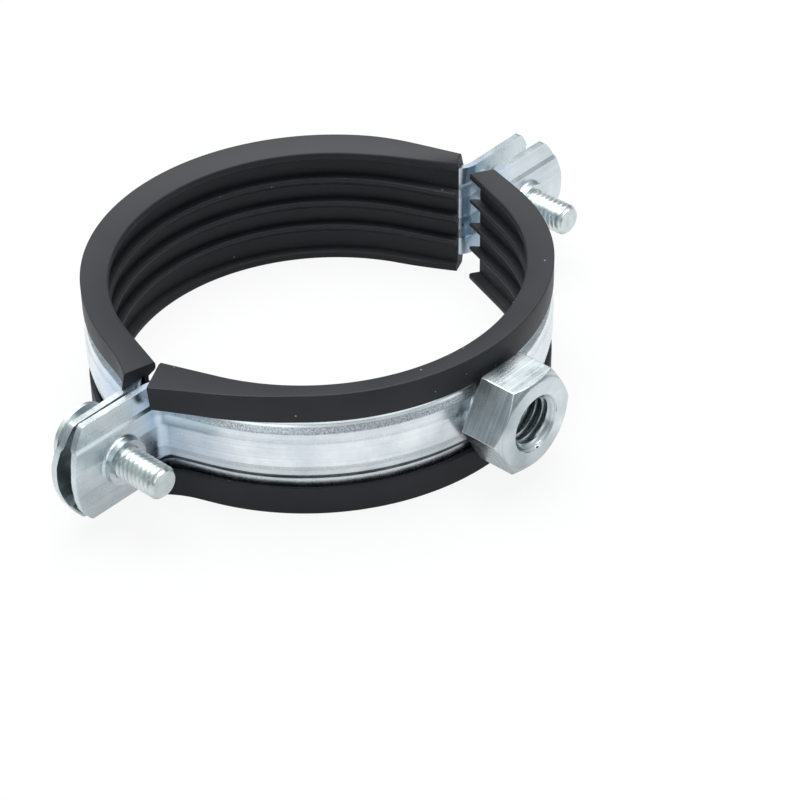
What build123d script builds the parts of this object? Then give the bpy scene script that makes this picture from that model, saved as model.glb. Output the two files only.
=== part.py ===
from build123d import *
from math import cos, radians, sin, tan
import os

os.makedirs("parts", exist_ok=True)

# A two-screw pipe clamp: two pressed steel half bands with ears, each lined with a ribbed
# rubber channel, and joined by two screws. Millimetres. Z is the pipe's axis, the origin is
# the centre of the nut half's pipe seat at mid-width, the ears lie along X, the nut is at -Y.

# ---- driving dimensions ------------------------------------------------------------------

# Pipe seat and rubber lining
seat_radius = 37.85          # over the crests of the ribs
lining_width = 24.8          # along the pipe, over both edges
lining_wall = 2.35           # rib crest to the rubber's back
rib_height = 1.6
rib_crests_z = (5.5, 0.35, -4.9)
rib_base = 2.4               # along the pipe
rib_hook = 0.35              # a rib's tip stands this much above the root of its upper side
nose_depth = 1.3             # the edge ribs' thickness at their tips
nose_root = 0.6              # extra thickness at their roots
lip_cover = 5.6              # how far a lip reaches over the band's outer face
lip_thickness = 1.2
edge_slope = 1.36            # the upper edge falls by this towards the pipe
lining_play = 0.05           # rubber to band, all round
rubber_radius = 0.3          # moulded corners

# Pressed half bands
band_width = 19.1
band_thickness = 1.2
foot_half_width = 5.6        # of the stiffening channel, where it leaves the flat
shoulder_half_width = 4.3
crown_half_width = 2.2
shoulder_height = 0.9        # above the flat
crown_height = 1.35
press_radius = 0.4
flare = 20.0                 # degrees of each end of a half that run straight to the ear
bend_radius = 3.8            # at the sheet's middle

# Ears, where the channel has a low step and a wide, shallow crown
ear_foot_half_width = 6.1
ear_foot_height = 0.4
ear_step_half_width = 5.5
ear_step_height = 0.85
nut_half_drop = 3.8          # seat centre to the nut half's mating faces
cap_half_drop = 2.4          # the same on the cap half
ear_corner_run = 16.7        # along X, from the sharp corner of ring wall and ear
ear_tip_run = 20.4
ear_corner_radius = 1.2
screw_run = 10.3             # from the same corner to the screw
cap_hole_shift = 0.2         # the cap half's holes are this much further out
cap_hole_clearance = 1.4     # round the screws, so that the cap half can swing
collar_wall = 1.1            # of the drawn and tapped collar on the nut half's ears
collar_height = 1.4
collar_root_radius = 0.5

# Clamp screws, M6
thread_radius = 3.0
thread_play = 0.05           # screw to tapped hole, all round
screw_length = 19.4          # under the head
tip_chamfer = 0.6
head_radius = 6.0
head_rim = 0.8
head_height = 3.1
recess_reach = 3.0           # cross recess, middle to the end of an arm
recess_arm = 1.3
recess_depth = 1.7
recess_taper = 8.0
head_gap = 0.4               # right head to the ear behind it, as the clamp stands

# Connecting nut, M10, welded to the nut half
nut_flats = 17.0
nut_height = 8.0
nut_standoff = 0.75          # nut's rear face to the channel's crown
nut_bore_radius = 4.25
countersink_radius = 5.4
countersink_angle = 90.0
nut_chamfer_inset = 0.4      # from the flats
nut_chamfer_angle = 30.0
weld_collar_radius = 6.8
weld_floor = 0.1             # weld metal between the bore's end and the channel's crown

# How the cap half stands on the nut half: left ears together, right ears apart
open_angle = 1.85
pivot_inset = 0.3            # rocking point to the tip of the cap half's ear
cap_shift_x = -0.6
ears_gap_closed = 0.1
lining_overrun = 0.7         # nut half's rubber beyond its mating faces
lining_gap_closed = 0.3      # rubber to rubber with the ears closed

# ---- sizes that follow -------------------------------------------------------------------

half_sheet = band_thickness / 2
seat_back_radius = seat_radius + lining_wall + lining_play
middle_radius = seat_back_radius + half_sheet
outer_radius = middle_radius + half_sheet
shank_radius = thread_radius - thread_play

# The straight end of a half, from the arc up to the sharp corner with its ear
flare_sin = sin(radians(flare))
flare_cos = cos(radians(flare))
flare_tan = tan(radians(flare))
touch_x = middle_radius * flare_cos
touch_y = -middle_radius * flare_sin
bend_reach = bend_radius * tan(radians((90 - flare) / 2))
ring_corner_x = touch_x + (-nut_half_drop - half_sheet - touch_y) * flare_tan
ear_corner_reach = ring_corner_x + ear_corner_run
ear_tip_reach = ring_corner_x + ear_tip_run
screw_reach = ring_corner_x + screw_run

# The cap half closed, and turned about the tip of its left ear to where it stands
closed_y = -nut_half_drop + ears_gap_closed
pivot = Vector(cap_shift_x - ear_tip_reach + pivot_inset, closed_y - ears_gap_closed / 2)
closed_arm = Vector(cap_shift_x, closed_y - cap_half_drop) - pivot
cap_centre = pivot + closed_arm.rotate(Axis.Z, open_angle)
closed_crown_y = closed_y + band_thickness + crown_height
head_seat_y = closed_crown_y + (screw_reach - pivot.X) * sin(radians(open_angle)) + head_gap

# Each half is drawn with its crown towards -Y. The cap half is turned round to face it.
nut_half = Plane.XY
cap_half = Plane(
    origin=cap_centre,
    x_dir=Vector(-1, 0, 0).rotate(Axis.Z, open_angle),
    z_dir=(0, 0, 1),
)


def on_half(half, origin, x_dir, z_dir):
    """A plane that is given in a half's own frame."""
    return Plane(half.location * Plane(origin=origin, x_dir=x_dir, z_dir=z_dir).location)


def across(half, x, y, heading):
    """The plane across the strip at a point where it runs on in the direction heading."""
    run_x = cos(radians(heading))
    run_y = sin(radians(heading))
    return on_half(half, (x, y, 0), (-run_y, run_x, 0), (run_x, run_y, 0))


ring_channel = (
    (0, foot_half_width),
    (shoulder_height, shoulder_half_width),
    (crown_height, crown_half_width),
)
ear_channel = (
    (ear_foot_height, ear_foot_half_width),
    (ear_step_height, ear_step_half_width),
    (crown_height, crown_half_width),
)


def channel_section(plane, channel, depth):
    """A channel's outer line and the sheet under it, X outwards, Y along the pipe."""
    upper = [(0, band_width / 2), *channel]
    lower = [(x, -y) for x, y in reversed(upper)]
    outer_line = [(half_sheet + x, y) for x, y in upper + lower]
    inner_line = [(x - depth, y) for x, y in reversed(outer_line)]
    with BuildSketch(plane) as section:
        with BuildLine():
            Polyline(*outer_line, *inner_line, close=True)
        make_face()
        pressed = section.vertices().filter_by(lambda v: abs(v.Y) < band_width / 2 - press_radius)
        fillet(pressed, press_radius)
    return section.sketch


def lining_section(plane):
    """The rubber's section, X outwards from the sheet's middle, Y along the pipe."""
    edge = lining_width / 2
    crest = seat_radius - middle_radius
    root = crest + rib_height
    back = -half_sheet - lining_play
    lip_inner = half_sheet + lining_play
    lip_outer = lip_inner + lip_thickness
    groove_end = band_width / 2 + lining_play
    ribs = []
    for z in rib_crests_z:
        ribs += [(root, z - rib_hook), (crest, z), (root, z - rib_base)]
    with BuildSketch(plane) as section:
        with BuildLine():
            Polyline(
                (lip_outer, edge - lip_cover),
                (lip_outer, edge),
                (crest, edge - edge_slope),
                (crest, edge - edge_slope - nose_depth),
                (root, edge - edge_slope - nose_depth - nose_root),
                *ribs,
                (root, -edge + nose_depth + nose_root),
                (crest, -edge + nose_depth),
                (crest, -edge),
                (lip_outer, -edge),
                (lip_outer, -edge + lip_cover),
                (lip_inner, -edge + lip_cover),
                (lip_inner, -groove_end),
                (back, -groove_end),
                (back, groove_end),
                (lip_inner, groove_end),
                (lip_inner, edge - lip_cover),
                close=True,
            )
        make_face()
        fillet(section.vertices().group_by(Axis.X)[0], rubber_radius)
        fillet(section.vertices().group_by(Axis.X)[-1], rubber_radius)
    return section.sketch


def roll_arc(half, section):
    """Carry a section from a half's crown round to where its left end runs straight."""
    revolve(section, Axis(half.origin, (0, 0, -1)), revolution_arc=90 - flare)


def mirror_half(half):
    """The right-hand side of a half from its left-hand side."""
    mirror(about=on_half(half, (0, 0, 0), (0, 1, 0), (1, 0, 0)))


def press_band(half, drop):
    """A pressed half: arc, straight, bend and ear on the left, then the same on the right."""
    ear_y = -drop - half_sheet
    corner_x = -touch_x - (ear_y - touch_y) * flare_tan
    bend_x = corner_x + bend_reach * flare_sin
    bend_y = ear_y - bend_reach * flare_cos
    ear_x = corner_x - bend_reach
    wall_heading = 90 + flare
    bend_centre = (ear_x, ear_y - bend_radius)
    start = channel_section(across(half, 0, -middle_radius, 180), ring_channel, band_thickness)
    roll_arc(half, start)
    wall = channel_section(across(half, -touch_x, touch_y, 90 + flare), ring_channel, band_thickness)
    extrude(wall, (bend_y - touch_y) / flare_cos)
    with BuildLine(half) as bend_line:
        CenterArc(bend_centre, bend_radius, flare, 90 - flare)
    bend_start = channel_section(across(half, bend_x, bend_y, 90 + flare), ring_channel, band_thickness)
    ear_section = channel_section(across(half, ear_x, ear_y, 180), ear_channel, band_thickness)
    sweep([bend_start, ear_section], bend_line.wires()[0], multisection=True)
    extrude(ear_section, ear_tip_reach + ear_x)
    mirror_half(half)


def mould_lining(half, run):
    """A rubber strip: the arc and a straight run on the left, then the same on the right."""
    roll_arc(half, lining_section(across(half, 0, -middle_radius, 180)))
    extrude(lining_section(across(half, -touch_x, touch_y, 90 + flare)), run)
    mirror_half(half)


def ear_outline(half):
    """Both ears' outline seen along Y, with bowed ends and rounded corners."""
    corner_z = band_width / 2
    with BuildSketch(on_half(half, (0, 0, 0), (1, 0, 0), (0, -1, 0))) as outline:
        with BuildLine():
            Line((-ear_corner_reach, corner_z), (ear_corner_reach, corner_z))
            ThreePointArc(
                (ear_corner_reach, corner_z), (ear_tip_reach, 0), (ear_corner_reach, -corner_z)
            )
            Line((ear_corner_reach, -corner_z), (-ear_corner_reach, -corner_z))
            ThreePointArc(
                (-ear_corner_reach, -corner_z), (-ear_tip_reach, 0), (-ear_corner_reach, corner_z)
            )
        make_face()
        fillet(outline.vertices(), ear_corner_radius)
    return outline.sketch


def ear_circles(half, y, reach, radius):
    """A circle on each ear of a half, facing -Y in the half's own frame."""
    with BuildSketch(on_half(half, (0, y, 0), (1, 0, 0), (0, -1, 0))) as circles:
        with Locations((-reach, 0), (reach, 0)):
            Circle(radius)
    return circles.sketch


# ---- nut half's band ---------------------------------------------------------------------

crown_y = -nut_half_drop - band_thickness - crown_height
full_depth = 2 * middle_radius

with BuildPart() as nut_half_band:
    press_band(nut_half, nut_half_drop)
    collar_radius = thread_radius + collar_wall
    collars = ear_circles(nut_half, crown_y + half_sheet, screw_reach, collar_radius)
    extrude(collars, collar_height + half_sheet)
    collar_roots = nut_half_band.edges().filter_by(GeomType.CIRCLE).filter_by(
        lambda e: abs(e.center().Y - crown_y) < 0.01 and abs(e.radius - collar_radius) < 0.01
    )
    fillet(collar_roots, collar_root_radius)
    extrude(ear_circles(nut_half, 0, screw_reach, thread_radius), full_depth, mode=Mode.SUBTRACT)
    extrude(ear_outline(nut_half), full_depth, both=True, mode=Mode.INTERSECT)

nut_half_band.part.label = "nut_half_band"
export_step(nut_half_band.part, "parts/nut_half_band.step")

# ---- cap half's band ---------------------------------------------------------------------

with BuildPart() as cap_half_band:
    press_band(cap_half, cap_half_drop)
    holes = ear_circles(
        cap_half, 0, screw_reach + cap_hole_shift, thread_radius + cap_hole_clearance
    )
    extrude(holes, full_depth, mode=Mode.SUBTRACT)
    extrude(ear_outline(cap_half), full_depth, both=True, mode=Mode.INTERSECT)

cap_half_band.part.label = "cap_half_band"
export_step(cap_half_band.part, "parts/cap_half_band.step")

# ---- rubber linings ----------------------------------------------------------------------


def straight_run(end_y):
    """Length of the rubber's straight ends, whose pipe-side edge is to stop at end_y."""
    return (end_y - touch_y - (middle_radius - seat_radius) * flare_sin) / flare_cos


def ear_pocket(half, drop):
    """Where the ears and bends pass out through the rubber, seen along the pipe."""
    foot_y = -drop - half_sheet - bend_reach * flare_cos
    top_y = touch_y + straight_run(0)
    back = (half_sheet + lining_play) / flare_cos
    foot_x = touch_x + (foot_y - touch_y) * flare_tan - back
    top_x = foot_x + (top_y - foot_y) * flare_tan
    with BuildSketch(half.offset(-band_width / 2 - lining_play)) as pocket:
        for side in (-1, 1):
            with BuildLine():
                Polyline(
                    (side * foot_x, foot_y),
                    (side * top_x, top_y),
                    (side * ear_tip_reach, top_y),
                    (side * ear_tip_reach, foot_y),
                    close=True,
                )
            make_face()
    return pocket.sketch


pocket_height = band_width + 2 * lining_play
nut_run = straight_run(-nut_half_drop + lining_overrun)
cap_recess = lining_overrun + lining_gap_closed - ears_gap_closed
cap_run = straight_run(-cap_half_drop - cap_recess)

with BuildPart() as nut_half_lining:
    mould_lining(nut_half, nut_run)
    extrude(ear_pocket(nut_half, nut_half_drop), pocket_height, mode=Mode.SUBTRACT)

nut_half_lining.part.label = "nut_half_lining"
export_step(nut_half_lining.part, "parts/nut_half_lining.step")

with BuildPart() as cap_half_lining:
    mould_lining(cap_half, cap_run)
    extrude(ear_pocket(cap_half, cap_half_drop), pocket_height, mode=Mode.SUBTRACT)

cap_half_lining.part.label = "cap_half_lining"
export_step(cap_half_lining.part, "parts/cap_half_lining.step")

# ---- connecting nut ----------------------------------------------------------------------

nut_rear_y = -outer_radius - crown_height - nut_standoff
nut_front_y = nut_rear_y - nut_height
nut_face = Plane.XZ.offset(-nut_front_y)
nut_rear = Plane.XZ.offset(-nut_rear_y)
corner_radius = nut_flats / 2 / cos(radians(30))
nut_chamfer_radius = nut_flats / 2 - nut_chamfer_inset
chamfer_drop = (corner_radius - nut_chamfer_radius) * tan(radians(nut_chamfer_angle))

with BuildPart() as connecting_nut:
    with BuildSketch(nut_face):
        RegularPolygon(nut_flats / 2, 6, major_radius=False)
    extrude(amount=-nut_height)
    # The front face's chamfer, as turned
    with BuildSketch(Plane.XY):
        with BuildLine():
            Polyline(
                (nut_chamfer_radius, nut_front_y),
                (corner_radius, nut_front_y),
                (corner_radius, nut_front_y + chamfer_drop),
                close=True,
            )
        make_face()
    revolve(axis=Axis.Y, mode=Mode.SUBTRACT)
    # The weld collar, shaped to the channel that it stands on
    with BuildSketch(nut_rear):
        Circle(weld_collar_radius)
    extrude(amount=-(nut_standoff + crown_height + band_thickness))
    crown = across(nut_half, 0, -middle_radius, 180)
    revolve(channel_section(crown, ring_channel, middle_radius / 2), Axis.Z, mode=Mode.SUBTRACT)
    with Locations(nut_face):
        CounterSinkHole(
            nut_bore_radius,
            countersink_radius,
            depth=nut_height + nut_standoff - weld_floor,
            counter_sink_angle=countersink_angle,
        )

connecting_nut.part.label = "connecting_nut"
export_step(connecting_nut.part, "parts/connecting_nut.step")

# ---- clamp screws ------------------------------------------------------------------------

head_top_y = head_seat_y + head_height
dome_rise = head_height - head_rim
dome_radius = (head_radius**2 + dome_rise**2) / (2 * dome_rise)

for name, side in (("left_clamp_screw", -1), ("right_clamp_screw", 1)):
    x = side * screw_reach
    with BuildPart() as screw:
        with BuildSketch(Plane.XZ.offset(-head_seat_y)):
            with Locations((x, 0)):
                Circle(shank_radius)
        extrude(amount=screw_length)
        chamfer(screw.edges().group_by(Axis.Y)[0], tip_chamfer)
        # The domed head
        with BuildSketch(Plane.XY):
            with BuildLine():
                Polyline(
                    (x, head_top_y),
                    (x, head_seat_y),
                    (x + head_radius, head_seat_y),
                    (x + head_radius, head_seat_y + head_rim),
                )
                RadiusArc((x + head_radius, head_seat_y + head_rim), (x, head_top_y), -dome_radius)
            make_face()
        revolve(axis=Axis((x, 0, 0), (0, 1, 0)))
        # The cross recess
        with BuildSketch(Plane(origin=(x, head_top_y, 0), x_dir=(1, 0, 0), z_dir=(0, 1, 0))):
            Rectangle(2 * recess_reach, recess_arm)
            Rectangle(recess_arm, 2 * recess_reach)
        extrude(amount=-recess_depth, taper=recess_taper, mode=Mode.SUBTRACT)
    screw.part.label = name
    export_step(screw.part, f"parts/{name}.step")
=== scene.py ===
from math import cos, pi, radians, sin

import bmesh
import bpy
from mathutils import Matrix, Vector


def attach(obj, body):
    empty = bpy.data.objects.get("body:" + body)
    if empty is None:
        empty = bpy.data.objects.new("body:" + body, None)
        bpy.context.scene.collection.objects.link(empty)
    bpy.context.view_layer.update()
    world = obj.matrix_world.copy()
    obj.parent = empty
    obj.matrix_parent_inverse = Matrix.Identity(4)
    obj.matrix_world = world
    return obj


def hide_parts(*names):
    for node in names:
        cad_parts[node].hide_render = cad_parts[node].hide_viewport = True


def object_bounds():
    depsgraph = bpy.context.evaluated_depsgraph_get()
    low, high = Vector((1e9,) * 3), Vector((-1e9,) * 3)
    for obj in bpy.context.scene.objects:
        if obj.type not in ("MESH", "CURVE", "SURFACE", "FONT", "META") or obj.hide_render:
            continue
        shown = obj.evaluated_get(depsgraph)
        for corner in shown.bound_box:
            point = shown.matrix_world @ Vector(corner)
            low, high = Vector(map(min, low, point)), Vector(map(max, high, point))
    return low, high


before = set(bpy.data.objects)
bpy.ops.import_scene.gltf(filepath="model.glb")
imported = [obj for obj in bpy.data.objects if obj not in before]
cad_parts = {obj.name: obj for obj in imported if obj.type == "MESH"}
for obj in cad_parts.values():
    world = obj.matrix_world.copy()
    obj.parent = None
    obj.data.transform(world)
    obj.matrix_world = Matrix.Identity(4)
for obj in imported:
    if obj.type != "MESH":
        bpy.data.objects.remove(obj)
cad_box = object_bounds()

# ---- Camera and studio ---------------------------------------------------------------------
# The clamp lies on its side on a pale table under a large overhead softbox, with a weaker one
# from the front left and one from the front right. The room beyond them is a dull blue-grey,
# which bright metal mirrors.

mm = 0.001
camera_place = Vector((-260.8, -259.76, 255.39)) * mm
camera_azimuth = radians(-47.495)
camera_elevation = radians(36.90)
camera_roll = radians(-0.8095)
camera_lens = 112.95
camera_sensor = 36.0
camera_near = 10 * mm

camera_data = bpy.data.cameras.new("camera")
camera_data.lens = camera_lens
camera_data.sensor_width = camera_sensor
camera_data.clip_start = camera_near
camera = bpy.data.objects.new("camera", camera_data)
camera.matrix_world = (
    Matrix.Translation(camera_place)
    @ Matrix.Rotation(camera_azimuth, 4, "Z")
    @ Matrix.Rotation(radians(90) - camera_elevation, 4, "X")
    @ Matrix.Rotation(camera_roll, 4, "Z")
)
bpy.context.collection.objects.link(camera)
bpy.context.scene.camera = camera
bpy.context.scene.view_settings.view_transform = "Standard"


def srgb(code):
    """An sRGB hex colour as linear RGBA."""
    channels = [int(code[i:i + 2], 16) / 255 for i in (1, 3, 5)]
    linear = [c / 12.92 if c <= 0.04045 else ((c + 0.055) / 1.055) ** 2.4 for c in channels]
    return linear + [1.0]


def add_node(tree, kind, settings=None, **inputs):
    """A shader node with its settings, and its inputs set or linked by name or number."""
    node = tree.nodes.new(kind)
    for key, value in (settings or {}).items():
        setattr(node, key, value)
    for key, value in inputs.items():
        numbered = key[0] == "i" and key[1:].isdigit()
        socket = node.inputs[int(key[1:]) if numbered else key.replace("_", " ")]
        if isinstance(value, bpy.types.NodeSocket):
            tree.links.new(value, socket)
        else:
            socket.default_value = value
    return node


def soft_lamp(name, place, width, watts, tint):
    """A square softbox that points at the clamp's middle."""
    data = bpy.data.lights.new(name, "AREA")
    data.shape = "SQUARE"
    data.size = width
    data.energy = watts
    data.color = srgb(tint)[:3]
    lamp = bpy.data.objects.new(name, data)
    lamp.location = place
    lamp.rotation_euler = (-Vector(place)).to_track_quat("-Z", "Y").to_euler()
    bpy.context.collection.objects.link(lamp)


soft_lamp("overhead_softbox", (0.10, 0.15, 0.75), 0.7, 10.0, "#ffffff")
soft_lamp("front_left_softbox", (-0.75, -0.25, 0.45), 0.5, 0.8, "#f6faff")
soft_lamp("front_right_softbox", (0.35, -0.75, 0.40), 0.4, 0.35, "#f6faff")

studio_white = srgb("#ffffff")
wall_grey = srgb("#76828a")
wall_top = 0.85
room_fill = srgb("#eef2f6")
room_strength = 0.22

world = bpy.data.worlds.new("studio_room")
world.use_nodes = True
bpy.context.scene.world = world
room = world.node_tree
room.nodes.clear()
direction = add_node(room, "ShaderNodeTexCoord").outputs["Generated"]
height = add_node(room, "ShaderNodeSeparateXYZ", Vector=direction).outputs["Z"]
walls = add_node(room, "ShaderNodeValToRGB", Fac=height)
walls.color_ramp.elements[0].color = wall_grey
walls.color_ramp.elements[1].position = wall_top
walls.color_ramp.elements[1].color = studio_white
mirrored_room = add_node(room, "ShaderNodeBackground", Color=walls.outputs["Color"], Strength=1.0)
white_room = add_node(room, "ShaderNodeBackground", Color=studio_white, Strength=1.0)
dim_room = add_node(room, "ShaderNodeBackground", Color=room_fill, Strength=room_strength)
rays = add_node(room, "ShaderNodeLightPath")
glossy = add_node(room, "ShaderNodeMixShader", Fac=rays.outputs["Is Glossy Ray"],
                  i1=dim_room.outputs[0], i2=mirrored_room.outputs[0])
seen = add_node(room, "ShaderNodeMixShader", Fac=rays.outputs["Is Camera Ray"],
                i1=glossy.outputs[0], i2=white_room.outputs[0])
add_node(room, "ShaderNodeOutputWorld", Surface=seen.outputs[0])

# ---- Table ---------------------------------------------------------------------------------
# A sheet of white studio card. It takes the clamp's soft shadow, and is lifted to white where
# the eye sees it, and half as much where bright metal mirrors it.

table_width = 3.0
table_drop = 0.02 * mm
card_white = srgb("#dcdee0")
card_grain = 10 / 9 * mm
card_relief = 0.2 * mm
seen_lift = 0.9
mirrored_lift = 0.5

table_mesh = bpy.data.meshes.new("table")
bm = bmesh.new()
bmesh.ops.create_grid(bm, x_segments=1, y_segments=1, size=table_width / 2)
bmesh.ops.translate(bm, verts=bm.verts, vec=(0, 0, cad_box[0][2] - table_drop))
bm.to_mesh(table_mesh)
bm.free()
table = bpy.data.objects.new("table", table_mesh)
bpy.context.collection.objects.link(table)

card = bpy.data.materials.new("white_card")
card.use_nodes = True
tree = card.node_tree
tree.nodes.clear()
place = add_node(tree, "ShaderNodeTexCoord").outputs["Object"]
grain = add_node(tree, "ShaderNodeTexNoise", Vector=place, Scale=1 / card_grain, Detail=2.0)
bump = add_node(tree, "ShaderNodeBump", Height=grain.outputs["Fac"], Strength=0.05,
                Distance=card_relief)
paper = add_node(tree, "ShaderNodeBsdfDiffuse", Color=card_white, Normal=bump.outputs[0])
white = add_node(tree, "ShaderNodeEmission", Color=studio_white, Strength=1.0)
rays = add_node(tree, "ShaderNodeLightPath")
mirrored = add_node(tree, "ShaderNodeMath", {"operation": "MULTIPLY"},
                    i0=rays.outputs["Is Glossy Ray"], i1=mirrored_lift)
lift = add_node(tree, "ShaderNodeMath", {"operation": "MULTIPLY_ADD"},
                i0=rays.outputs["Is Camera Ray"], i1=seen_lift, i2=mirrored.outputs[0])
surface = add_node(tree, "ShaderNodeMixShader", Fac=lift.outputs[0],
                   i1=paper.outputs[0], i2=white.outputs[0])
add_node(tree, "ShaderNodeOutputMaterial", Surface=surface.outputs[0])
table_mesh.materials.append(card)

# ---- Half bands ----------------------------------------------------------------------------
# Two strips of mild steel, pressed with a stiffening channel along the middle, bent to a ring
# with ears, then zinc plated and blue passivated. The rolling marks run along the strip, the
# press frosts the channel's steps where it stretched them and painted shade darkens them, the
# bends are bluer, and the ears are tinted teal and darkened by painted shade.

cloud_size = 5.0 * mm
cloud_span = (0.3, 0.7)
tone_span = (0.32, 0.68)
polish_spread = (-0.05, 0.07)
metal_relief = 0.02 * mm


def zinc_finish(name, dark, light, grain_scale, grain_share, grit_size, roughness):
    """Zinc plating over a drawn or rolled grain, and the parts of it that a piece builds on."""
    material = bpy.data.materials.new(name)
    material.use_nodes = True
    tree = material.node_tree
    shader = tree.nodes["Principled BSDF"]
    shader.inputs["Metallic"].default_value = 1.0
    place = add_node(tree, "ShaderNodeTexCoord").outputs["Object"]
    along = add_node(tree, "ShaderNodeMapping", Vector=place, Scale=grain_scale)
    grain = add_node(tree, "ShaderNodeTexNoise", Vector=along.outputs[0], Scale=1.0, Detail=4.0)
    clouds = add_node(tree, "ShaderNodeTexNoise", Vector=place, Scale=1 / cloud_size, Detail=4.0)
    grit = add_node(tree, "ShaderNodeTexNoise", Vector=place, Scale=1 / grit_size, Detail=3.0)
    tone = add_node(tree, "ShaderNodeMix", {"data_type": "FLOAT"}, Factor=grain_share,
                    i2=clouds.outputs["Fac"], i3=grain.outputs["Fac"])
    spread = add_node(tree, "ShaderNodeMapRange", Value=tone.outputs[0],
                      From_Min=tone_span[0], From_Max=tone_span[1])
    colour = add_node(tree, "ShaderNodeMix", {"data_type": "RGBA"}, Factor=spread.outputs[0],
                      i6=srgb(dark), i7=srgb(light))
    tree.links.new(colour.outputs[2], shader.inputs["Base Color"])
    dulling = add_node(tree, "ShaderNodeMapRange", Value=clouds.outputs["Fac"],
                       From_Min=cloud_span[0], From_Max=cloud_span[1],
                       To_Min=roughness + polish_spread[0], To_Max=roughness + polish_spread[1])
    tree.links.new(dulling.outputs[0], shader.inputs["Roughness"])
    relief = add_node(tree, "ShaderNodeMath", {"operation": "MULTIPLY_ADD"},
                      i0=grain.outputs["Fac"], i1=grain_share, i2=grit.outputs["Fac"])
    bump = add_node(tree, "ShaderNodeBump", Height=relief.outputs[0], Strength=0.3,
                    Distance=metal_relief)
    tree.links.new(bump.outputs[0], shader.inputs["Normal"])
    return material, shader, place, colour, dulling, grit


rolling_pitch = 0.30 * mm
rolling_length = 1000 / 30 * mm
strip_grain = (1 / rolling_length, 1 / rolling_length, 1 / rolling_pitch)
strip_grit = 0.25 * mm
strip_zinc, shader, place, colour, dulling, grit = zinc_finish(
    "zinc_plated_strip", "#c9d3d8", "#f3f7f9", strip_grain, 0.35, strip_grit, 0.27
)
tree = strip_zinc.node_tree

# How much the press frosts the channel and painted shade darkens its steps, at each height
# in millimetres
frost_and_shade_colour = srgb("#8f999c")
frost_and_shade_at = (
    (-5.8, 0.0), (-5.4, 0.7), (-4.5, 0.7), (-4.2, 0.0), (-3.4, 0.0), (-3.1, 0.45), (-2.4, 0.45),
    (-2.2, 0.0), (2.3, 0.0), (2.5, 0.35), (3.0, 0.15), (3.4, 0.0), (4.0, 0.0), (4.2, 1.0),
    (5.1, 1.0), (5.3, 0.0),
)
half_strip = 9.55
frost_roughness = 0.15
mottle_span = (0.35, 0.6)
mottle_least = 0.3
ring_end = (42.0 * mm, 47.0 * mm)
ear_frost_and_shade = 0.15

across = add_node(tree, "ShaderNodeSeparateXYZ", Vector=place)
height = add_node(tree, "ShaderNodeMapRange", Value=across.outputs["Z"],
                  From_Min=-half_strip * mm, From_Max=half_strip * mm)
lines = add_node(tree, "ShaderNodeValToRGB", Fac=height.outputs[0])
marks = lines.color_ramp.elements
marks[0].color = marks[1].color = (0, 0, 0, 1)
for z, share in frost_and_shade_at:
    marks.new((z + half_strip) / (2 * half_strip)).color = (share, share, share, 1)
mottle = add_node(tree, "ShaderNodeMapRange", Value=grit.outputs["Fac"], To_Min=1.0,
                  From_Min=mottle_span[0], From_Max=mottle_span[1], To_Max=mottle_least)
off_centre = add_node(tree, "ShaderNodeMath", {"operation": "ABSOLUTE"}, i0=across.outputs["X"])
smoothly = {"interpolation_type": "SMOOTHSTEP"}
on_ring = add_node(tree, "ShaderNodeMapRange", smoothly, Value=off_centre.outputs[0],
                   From_Min=ring_end[1], From_Max=ring_end[0], To_Min=ear_frost_and_shade)
frost_and_shade_on_ring = add_node(tree, "ShaderNodeMath", {"operation": "MULTIPLY"},
                        i0=lines.outputs["Color"], i1=on_ring.outputs[0])
# Painted shade: this share darkens the channel's steps in colour, grainy with the mottle; the
# roughness added below is the press's real frosting
frost_and_shade_share = add_node(tree, "ShaderNodeMath", {"operation": "MULTIPLY"},
                 i0=frost_and_shade_on_ring.outputs[0], i1=mottle.outputs[0])
frosted_and_shaded = add_node(tree, "ShaderNodeMix", {"data_type": "RGBA"}, Factor=frost_and_shade_share.outputs[0],
                   i6=colour.outputs[2], i7=frost_and_shade_colour)
rougher = add_node(tree, "ShaderNodeMath", {"operation": "MULTIPLY_ADD"},
                   i0=frost_and_shade_on_ring.outputs[0], i1=frost_roughness, i2=dulling.outputs[0])
tree.links.new(rougher.outputs[0], shader.inputs["Roughness"])

# The passivation is bluer in the bends to the ears, and the ears are tinted teal and darkened
# with painted shade
passivation = srgb("#a8c4de")
bend_place = 44.0 * mm
bend_spread = 7.0 * mm
blue_share = 0.6
ear_tint_and_shade = srgb("#93a5a8")
ear_start = (46.0 * mm, 51.0 * mm)
ear_tint_and_shade_share = 0.3

from_bend = add_node(tree, "ShaderNodeMath", {"operation": "SUBTRACT"},
                     i0=off_centre.outputs[0], i1=bend_place)
how_far = add_node(tree, "ShaderNodeMath", {"operation": "ABSOLUTE"}, i0=from_bend.outputs[0])
near_bend = add_node(tree, "ShaderNodeMapRange", smoothly, Value=how_far.outputs[0],
                     From_Min=bend_spread, From_Max=0.0, To_Max=blue_share)
blued = add_node(tree, "ShaderNodeMix", {"data_type": "RGBA"}, Factor=near_bend.outputs[0],
                 i6=frosted_and_shaded.outputs[2], i7=passivation)
# Painted shade: the ears are mixed toward a darker teal grey
on_ear = add_node(tree, "ShaderNodeMapRange", smoothly, Value=off_centre.outputs[0],
                  From_Min=ear_start[0], From_Max=ear_start[1], To_Max=ear_tint_and_shade_share)
ear_tinted_and_shaded = add_node(tree, "ShaderNodeMix", {"data_type": "RGBA"}, Factor=on_ear.outputs[0],
                 i6=blued.outputs[2], i7=ear_tint_and_shade)
tree.links.new(ear_tinted_and_shaded.outputs[2], shader.inputs["Base Color"])

for name in ("nut_half_band", "cap_half_band"):
    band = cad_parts[name].data
    band.materials.clear()
    band.materials.append(strip_zinc)

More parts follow.
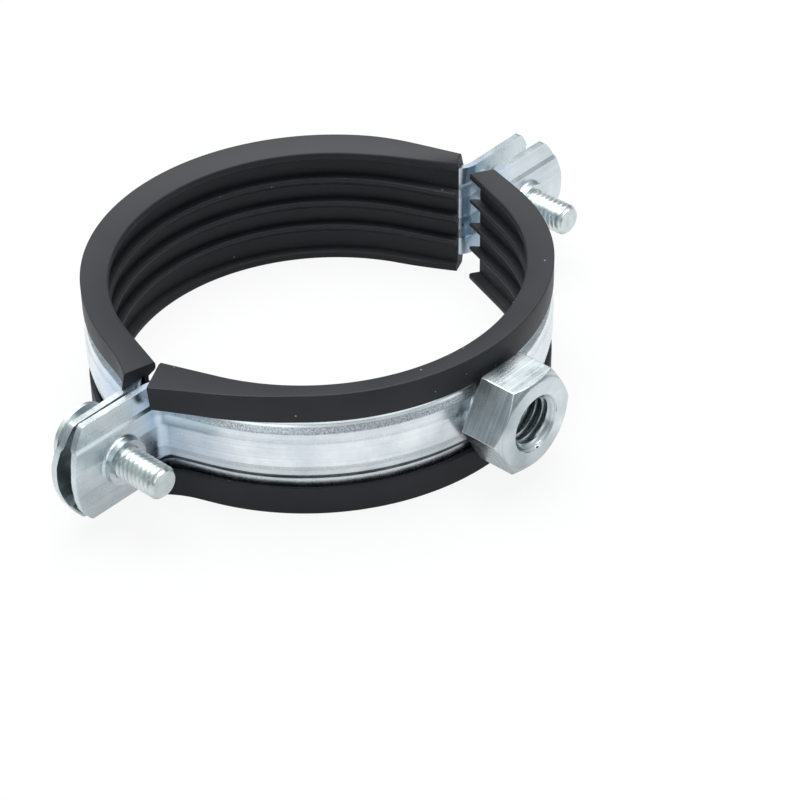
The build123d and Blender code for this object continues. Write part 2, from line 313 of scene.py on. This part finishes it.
# ---- Rubber linings ------------------------------------------------------------------------
# Black EPDM rubber, extruded to a ribbed channel section, cut to length with a knife and
# pressed over both edges of each half band. The lips spread where the strip bends to its ears.
# The die leaves it smooth and matt, and handling leaves specks of dust.

# The section, in millimetres: distance from the middle of the sheet, and height
sheet_radius = 40.85
lip_outer = 1.85
lip_inner = 0.65
lip_edge = 6.8
lower_lip_edge = 7.1
lip_gap = 0.45
lip_gap_end = 8.4
slot_edge = 9.6
half_lining = 12.4
pipe_side = -3.0
rib_root = -1.4
rib_crests = (5.5, 0.35, -4.9)
crest_lead = 0.1
crest_width = 0.75
rib_width = 2.3
upper_bead = (11.04, 9.74, 9.14)
lower_bead = (10.5, 11.1)
rubber_rounding = 0.33

lining_profile = [
    (lip_outer, lip_edge), (lip_outer, half_lining),
    (pipe_side, upper_bead[0]), (pipe_side, upper_bead[1]), (rib_root, upper_bead[2]),
]
for crest in rib_crests:
    lining_profile += [
        (rib_root, crest + crest_lead), (pipe_side, crest),
        (pipe_side, crest - crest_width), (rib_root, crest - rib_width),
    ]
lining_profile += [
    (rib_root, -lower_bead[0]), (pipe_side, -lower_bead[1]), (pipe_side, -half_lining),
    (lip_outer, -half_lining), (lip_outer, -lower_lip_edge),
    (lip_inner + lip_gap, -lower_lip_edge), (lip_inner, -lip_gap_end), (lip_inner, -slot_edge),
    (-lip_inner, -slot_edge), (-lip_inner, slot_edge), (lip_inner, slot_edge),
    (lip_inner, lip_edge),
]

flare = radians(20)
arc_steps = 84
run_step = 0.9
web_back = 0.7
web_depth = 1.3
furthest = 1.1
weld_within = 0.001
slack = 0.05


def ribbed_strip(run):
    """The ribbed channel round its arc, with a straight run at each end, crown towards -Y."""
    bm = bmesh.new()
    rim = [bm.verts.new((sheet_radius + out, 0, z)) for out, z in lining_profile]
    bm.faces.new(rim)
    moulded = [v for v in rim if v.co.x > sheet_radius + lip_outer - slack
               or v.co.x < sheet_radius + pipe_side + slack]
    bmesh.ops.bevel(bm, geom=moulded, offset=rubber_rounding, segments=4, profile=0.5,
                    affect="VERTICES", material=-1)
    bmesh.ops.delete(bm, geom=bm.faces[:], context="FACES_ONLY")
    bmesh.ops.rotate(bm, verts=bm.verts, cent=(0, 0, 0),
                     matrix=Matrix.Rotation(pi + flare, 3, "Z"))
    first = bm.edges[:]
    spun = bmesh.ops.spin(bm, geom=bm.verts[:] + first, cent=(0, 0, 0), axis=(0, 0, 1),
                          angle=pi - 2 * flare, steps=arc_steps)
    last = [e for e in spun["geom_last"] if isinstance(e, bmesh.types.BMEdge)]
    pieces = round(run / run_step)
    for side, edges in ((-1, first), (1, last)):
        heading = Vector((side * sin(flare), cos(flare), 0)) * run / pieces
        for _ in range(pieces):
            grown = bmesh.ops.extrude_edge_only(bm, edges=edges)["geom"]
            fresh = {v for v in grown if isinstance(v, bmesh.types.BMVert)}
            bmesh.ops.translate(bm, verts=list(fresh), vec=heading)
            edges = [e for e in grown
                     if isinstance(e, bmesh.types.BMEdge) and set(e.verts) <= fresh]
    return bm


def push_lip(bm, side, level, from_run, to_run, edge_push, rim_push, rim_z=lip_edge, power=1.5,
             inner_push=0.0):
    """Push the upper or lower lip of one end away from the pipe, more and more to the end."""
    normal = Vector((side * cos(flare), -sin(flare), 0))
    heading = Vector((side * sin(flare), cos(flare), 0))
    for v in bm.verts:
        if v.co.x * side <= 0 or v.co.z * level < 0:
            continue
        flat = Vector((v.co.x, v.co.y, 0))
        run = flat.dot(heading)
        outward = normal
        out = flat.dot(normal) - sheet_radius
        if run < 0:
            outward = flat.normalized()
            out = flat.length - sheet_radius
            run = -sheet_radius * flat.angle(normal)
        along = min(furthest, max(0, (run - from_run) / (to_run - from_run))) ** power
        share = min(1, max(0, (out + web_back) / web_depth))
        inner_share = min(1, max(0, (-out - lip_inner) / (-pipe_side - lip_inner)))
        height = min(1, max(0, (abs(v.co.z) - rim_z) / (half_lining - rim_z)))
        v.co += outward * along * share * (rim_push + (edge_push - rim_push) * height)
        v.co += outward * along * inner_share * height * inner_push


def knife_cut(bm, side, place, normal):
    """Cut one end of a lining off."""
    near = [v for v in bm.verts if v.co.x * side > 0]
    chosen = set(near)
    edges = [e for e in bm.edges if set(e.verts) <= chosen]
    faces = [f for f in bm.faces if set(f.verts) <= chosen]
    bmesh.ops.bisect_plane(bm, geom=near + edges + faces, plane_co=place, plane_no=normal,
                           clear_outer=True)


def close_ends(bm):
    """Fill what is open, with all faces outwards."""
    bmesh.ops.remove_doubles(bm, verts=bm.verts, dist=weld_within)
    bmesh.ops.holes_fill(bm, edges=[e for e in bm.edges if e.is_boundary], sides=0)
    bmesh.ops.recalc_face_normals(bm, faces=bm.faces)


def make_piece(name, bm, material, body, node, sharp):
    """A finished piece, from millimetres to metres, that stands for its CAD node."""
    bmesh.ops.scale(bm, verts=bm.verts, vec=(mm, mm, mm))
    mesh = bpy.data.meshes.new(name)
    bm.to_mesh(mesh)
    bm.free()
    mesh.polygons.foreach_set("use_smooth", [True] * len(mesh.polygons))
    mesh.set_sharp_from_angle(angle=sharp)
    mesh.materials.append(material)
    piece = bpy.data.objects.new(name, mesh)
    bpy.context.collection.objects.link(piece)
    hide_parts(node)
    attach(piece, body)


rubber_black = srgb("#25272a")
rubber_bloom = srgb("#323437")
rubber_dust = srgb("#9a9c9c")
rubber_polish = (0.42, 0.58)
rubber_relief = 0.02 * mm
bloom_size = 9.0 * mm
skin_size = 0.35 * mm     # the skin's grain is finer; this is as coarse as shows
dust_spacing = 3.2 * mm
dust_size = 0.16 * mm
dust_rarity = 0.8

rubber = bpy.data.materials.new("extruded_epdm_rubber")
rubber.use_nodes = True
tree = rubber.node_tree
shader = tree.nodes["Principled BSDF"]
shader.inputs["IOR"].default_value = 1.5
shader.inputs["Specular IOR Level"].default_value = 0.2
place = add_node(tree, "ShaderNodeTexCoord").outputs["Object"]
bloom = add_node(tree, "ShaderNodeTexNoise", Vector=place, Scale=1 / bloom_size, Detail=4.0)
colour = add_node(tree, "ShaderNodeMix", {"data_type": "RGBA"}, Factor=bloom.outputs["Fac"],
                  i6=rubber_black, i7=rubber_bloom)
specks = add_node(tree, "ShaderNodeTexVoronoi", Vector=place, Scale=1 / dust_spacing,
                  Randomness=1.0)
speck = add_node(tree, "ShaderNodeMath", {"operation": "LESS_THAN"},
                 i0=specks.outputs["Distance"], i1=dust_size / dust_spacing)
lot = add_node(tree, "ShaderNodeSeparateColor", Color=specks.outputs["Color"])
chosen = add_node(tree, "ShaderNodeMath", {"operation": "GREATER_THAN"},
                  i0=lot.outputs[0], i1=dust_rarity)
dusty = add_node(tree, "ShaderNodeMath", {"operation": "MULTIPLY"},
                 i0=speck.outputs[0], i1=chosen.outputs[0])
dusted = add_node(tree, "ShaderNodeMix", {"data_type": "RGBA"}, Factor=dusty.outputs[0],
                  i6=colour.outputs[2], i7=rubber_dust)
tree.links.new(dusted.outputs[2], shader.inputs["Base Color"])
dulling = add_node(tree, "ShaderNodeMapRange", Value=bloom.outputs["Fac"],
                   To_Min=rubber_polish[0], To_Max=rubber_polish[1])
tree.links.new(dulling.outputs[0], shader.inputs["Roughness"])
skin = add_node(tree, "ShaderNodeTexNoise", Vector=place, Scale=1 / skin_size, Detail=2.0)
bump = add_node(tree, "ShaderNodeBump", Height=skin.outputs["Fac"], Strength=0.25,
                Distance=rubber_relief)
tree.links.new(bump.outputs[0], shader.inputs["Normal"])

rubber_sharp = radians(35)

# Each push gives the side, the lip's level, the run where it starts and where it is full, and
# how far it moves the lip's outer edge and its rim. Each cut gives the side and the plane.
nut_run = 10.477
nut_rim_z = 9.6
bm = ribbed_strip(nut_run)
push_lip(bm, -1, 1, -15.6, 8.7, 4.1, 2.75)
push_lip(bm, -1, -1, 3.0, 9.6, 1.3, 1.3, power=2.0)
push_lip(bm, 1, 1, -20.0, 7.0, -1.1, 0.0, rim_z=nut_rim_z)
knife_cut(bm, -1, (-39.68, -3.17, 0), (-0.539, 0.842, 0))
knife_cut(bm, 1, (42.49, -8.12, 0), (0.835, 0.55, 0))
close_ends(bm)
make_piece("nut_half_rubber", bm, rubber, "nut_half", "nut_half_lining",
           rubber_sharp)

# The cap half's lining is made as the nut half's is, and turned round to face it
cap_centre = Vector((-0.556, -4.098, 0))
cap_turn = radians(181.85)
cap_run = 13.0
cap_rim_z = 9.7
bm = ribbed_strip(cap_run)
push_lip(bm, 1, 1, -14.0, 11.0, 1.0, 0.0)
for side, edge_push in ((-1, 0.0), (1, 0.4)):
    for level in (-1, 1):
        push_lip(bm, side, level, 5.0, 12.0, edge_push, 2.3, rim_z=cap_rim_z, power=2.5)
push_lip(bm, -1, 1, -8.0, 11.0, -1.3, 0.0, inner_push=2.6)
push_lip(bm, -1, -1, 0.0, 11.0, -0.3, 0.0, inner_push=1.1)
bmesh.ops.rotate(bm, verts=bm.verts, cent=(0, 0, 0), matrix=Matrix.Rotation(cap_turn, 3, "Z"))
bmesh.ops.translate(bm, verts=bm.verts, vec=cap_centre)
knife_cut(bm, -1, (-40.0, -2.3, 0), (0, -1, 0))
knife_cut(bm, 1, (39.67, 0.5, 0), (0.394, -0.919, 0))
close_ends(bm)
make_piece("cap_half_rubber", bm, rubber, "cap_half", "cap_half_lining",
           rubber_sharp)

# ---- Clamp screws --------------------------------------------------------------------------
# Two M6 pan head screws of carbon steel, with a cold headed cross recess and a rolled thread,
# zinc plated and clear passivated. They run in the tapped collars of the nut half's ears, and
# the plating makes the thread's crests bright.

screw_reach = 52.17
screw_seat = 2.957
screw_length = 19.4
screw_crest = 2.95
screw_root = 2.5
screw_pitch = 1.0
screw_shares = (0.24, 0.2)      # of the pitch: the flat crest and the flat root
tip_radius = 2.35
screw_sharp = radians(28)
screw_grain = (900.0, 300.0, 900.0)
screw_grit = 0.18 * mm
turn_steps = 48
thread_weld = 0.01
node_weld = 0.002 * mm
seat_slack = 0.02


def thread_wall(bm, x, low, high, crest, root, pitch, shares):
    """A threaded wall about an axis along Y, cut off flat at both ends."""
    crest_share, root_share = shares
    flank = (1 - crest_share - root_share) / 2
    turn = [(root, 0), (root, root_share), (crest, root_share + flank), (crest, 1 - flank)]
    count = int((high - low) / pitch) + 3
    start = low - 1.5 * pitch
    line = [bm.verts.new((x + r, start + (n + share) * pitch, 0))
            for n in range(count) for r, share in turn]
    edges = [bm.edges.new(pair) for pair in zip(line, line[1:])]
    bmesh.ops.spin(bm, geom=line + edges, cent=(x, 0, 0), axis=(0, 1, 0),
                   dvec=(0, pitch / turn_steps, 0), angle=2 * pi, steps=turn_steps)
    bmesh.ops.remove_doubles(bm, verts=bm.verts, dist=thread_weld)
    for y, way in ((low, -1), (high, 1)):
        bmesh.ops.bisect_plane(bm, geom=bm.verts[:] + bm.edges[:] + bm.faces[:],
                               plane_co=(x, y, 0), plane_no=(0, way, 0), clear_outer=True)


def rim_at(bm, y):
    """The open edges that lie on a plane across Y."""
    return [e for e in bm.edges
            if e.is_boundary and all(abs(v.co.y - y) < thread_weld for v in e.verts)]


def from_axis(v, x):
    """The vector to a vertex from an axis along Y."""
    return Vector((v.co.x - x, 0, v.co.z))


def move_to_radius(v, x, radius):
    """Move a vertex straight towards or away from an axis along Y."""
    away = from_axis(v, x)
    v.co.x = x + away.x * radius / away.length
    v.co.z = away.z * radius / away.length


def node_copy(name):
    """A merged copy of a CAD node's mesh, in millimetres."""
    bm = bmesh.new()
    bm.from_mesh(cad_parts[name].data)
    bmesh.ops.remove_doubles(bm, verts=bm.verts, dist=node_weld)
    bmesh.ops.scale(bm, verts=bm.verts, vec=(1 / mm, 1 / mm, 1 / mm))
    return bm


def swap_wall(bm, wall, x, radius, level):
    """Put a threaded wall in place of the plain one within a radius and under a level."""
    plain = [f for f in bm.faces if all(v.co.y < level + seat_slack
             and from_axis(v, x).length < radius + slack for v in f.verts)]
    bmesh.ops.delete(bm, geom=plain, context="FACES")
    held = bpy.data.meshes.new("held")
    wall.to_mesh(held)
    wall.free()
    bm.from_mesh(held)
    bpy.data.meshes.remove(held)


screw_zinc = zinc_finish("zinc_plated_screw", "#bcc6c6", "#ebf0ef", screw_grain, 0.3, screw_grit,
                         0.32)[0]

for side, name in ((-1, "left"), (1, "right")):
    x = side * screw_reach
    tip_y = screw_seat - screw_length
    shank = bmesh.new()
    thread_wall(shank, x, tip_y, screw_seat, screw_crest, screw_root, screw_pitch, screw_shares)
    for v in shank.verts:
        most = tip_radius + v.co.y - tip_y
        if from_axis(v, x).length > most:
            move_to_radius(v, x, most)
    bmesh.ops.holes_fill(shank, edges=rim_at(shank, tip_y), sides=0)
    bm = node_copy(name + "_clamp_screw")
    swap_wall(bm, shank, x, screw_crest, screw_seat)
    bmesh.ops.bridge_loops(bm, edges=rim_at(bm, screw_seat))
    bmesh.ops.recalc_face_normals(bm, faces=bm.faces)
    make_piece(name + "_screw_threaded", bm, screw_zinc, name + "_screw",
               name + "_clamp_screw", screw_sharp)

# ---- Connecting nut ------------------------------------------------------------------------
# A turned hexagon nut of free-cutting steel, M10, welded to the band's crown and zinc plated
# with it. Its flats keep the drawn bar's grain, and its corners are rubbed bright.

nut_front = -51.55
nut_floor = -42.9
nut_crest = 4.25
nut_root = 4.95
nut_pitch = 1.5
nut_shares = (0.14, 0.25)       # of the pitch: the flat root and the flat crest
countersink = 5.4
corner_wear = 0.14
corner_reach = 7.9
corner_turn = radians(24)
flat_turn = radians(1)
nut_sharp = radians(12)
bar_grain_pitch = 0.28 * mm
bar_grain = (60.0, 1 / bar_grain_pitch, 60.0)
bar_grit = 0.2 * mm

bore = bmesh.new()
thread_wall(bore, 0, nut_front, nut_floor, nut_root, nut_crest, nut_pitch, nut_shares)
for v in bore.verts:
    least = countersink - (v.co.y - nut_front)
    if from_axis(v, 0).length < least:
        move_to_radius(v, 0, least)
bmesh.ops.holes_fill(bore, edges=rim_at(bore, nut_floor), sides=0)
bm = node_copy("connecting_nut")
bmesh.ops.dissolve_limit(bm, angle_limit=flat_turn, verts=bm.verts, edges=bm.edges)
swap_wall(bm, bore, 0, countersink, nut_floor)
bmesh.ops.bridge_loops(bm, edges=rim_at(bm, nut_front))
bmesh.ops.recalc_face_normals(bm, faces=bm.faces)
rubbed = [e for e in bm.edges if e.is_manifold and e.calc_face_angle() > corner_turn
          and all(from_axis(v, 0).length > corner_reach for v in e.verts)]
bmesh.ops.bevel(bm, geom=rubbed, offset=corner_wear, segments=2, profile=0.5, affect="EDGES",
                material=-1, clamp_overlap=True)
nut_zinc = zinc_finish("zinc_plated_bar", "#98a4a8", "#dbe3e5", bar_grain, 0.6, bar_grit, 0.25)[0]
make_piece("connecting_nut_threaded", bm, nut_zinc, "nut_half", "connecting_nut",
           nut_sharp)
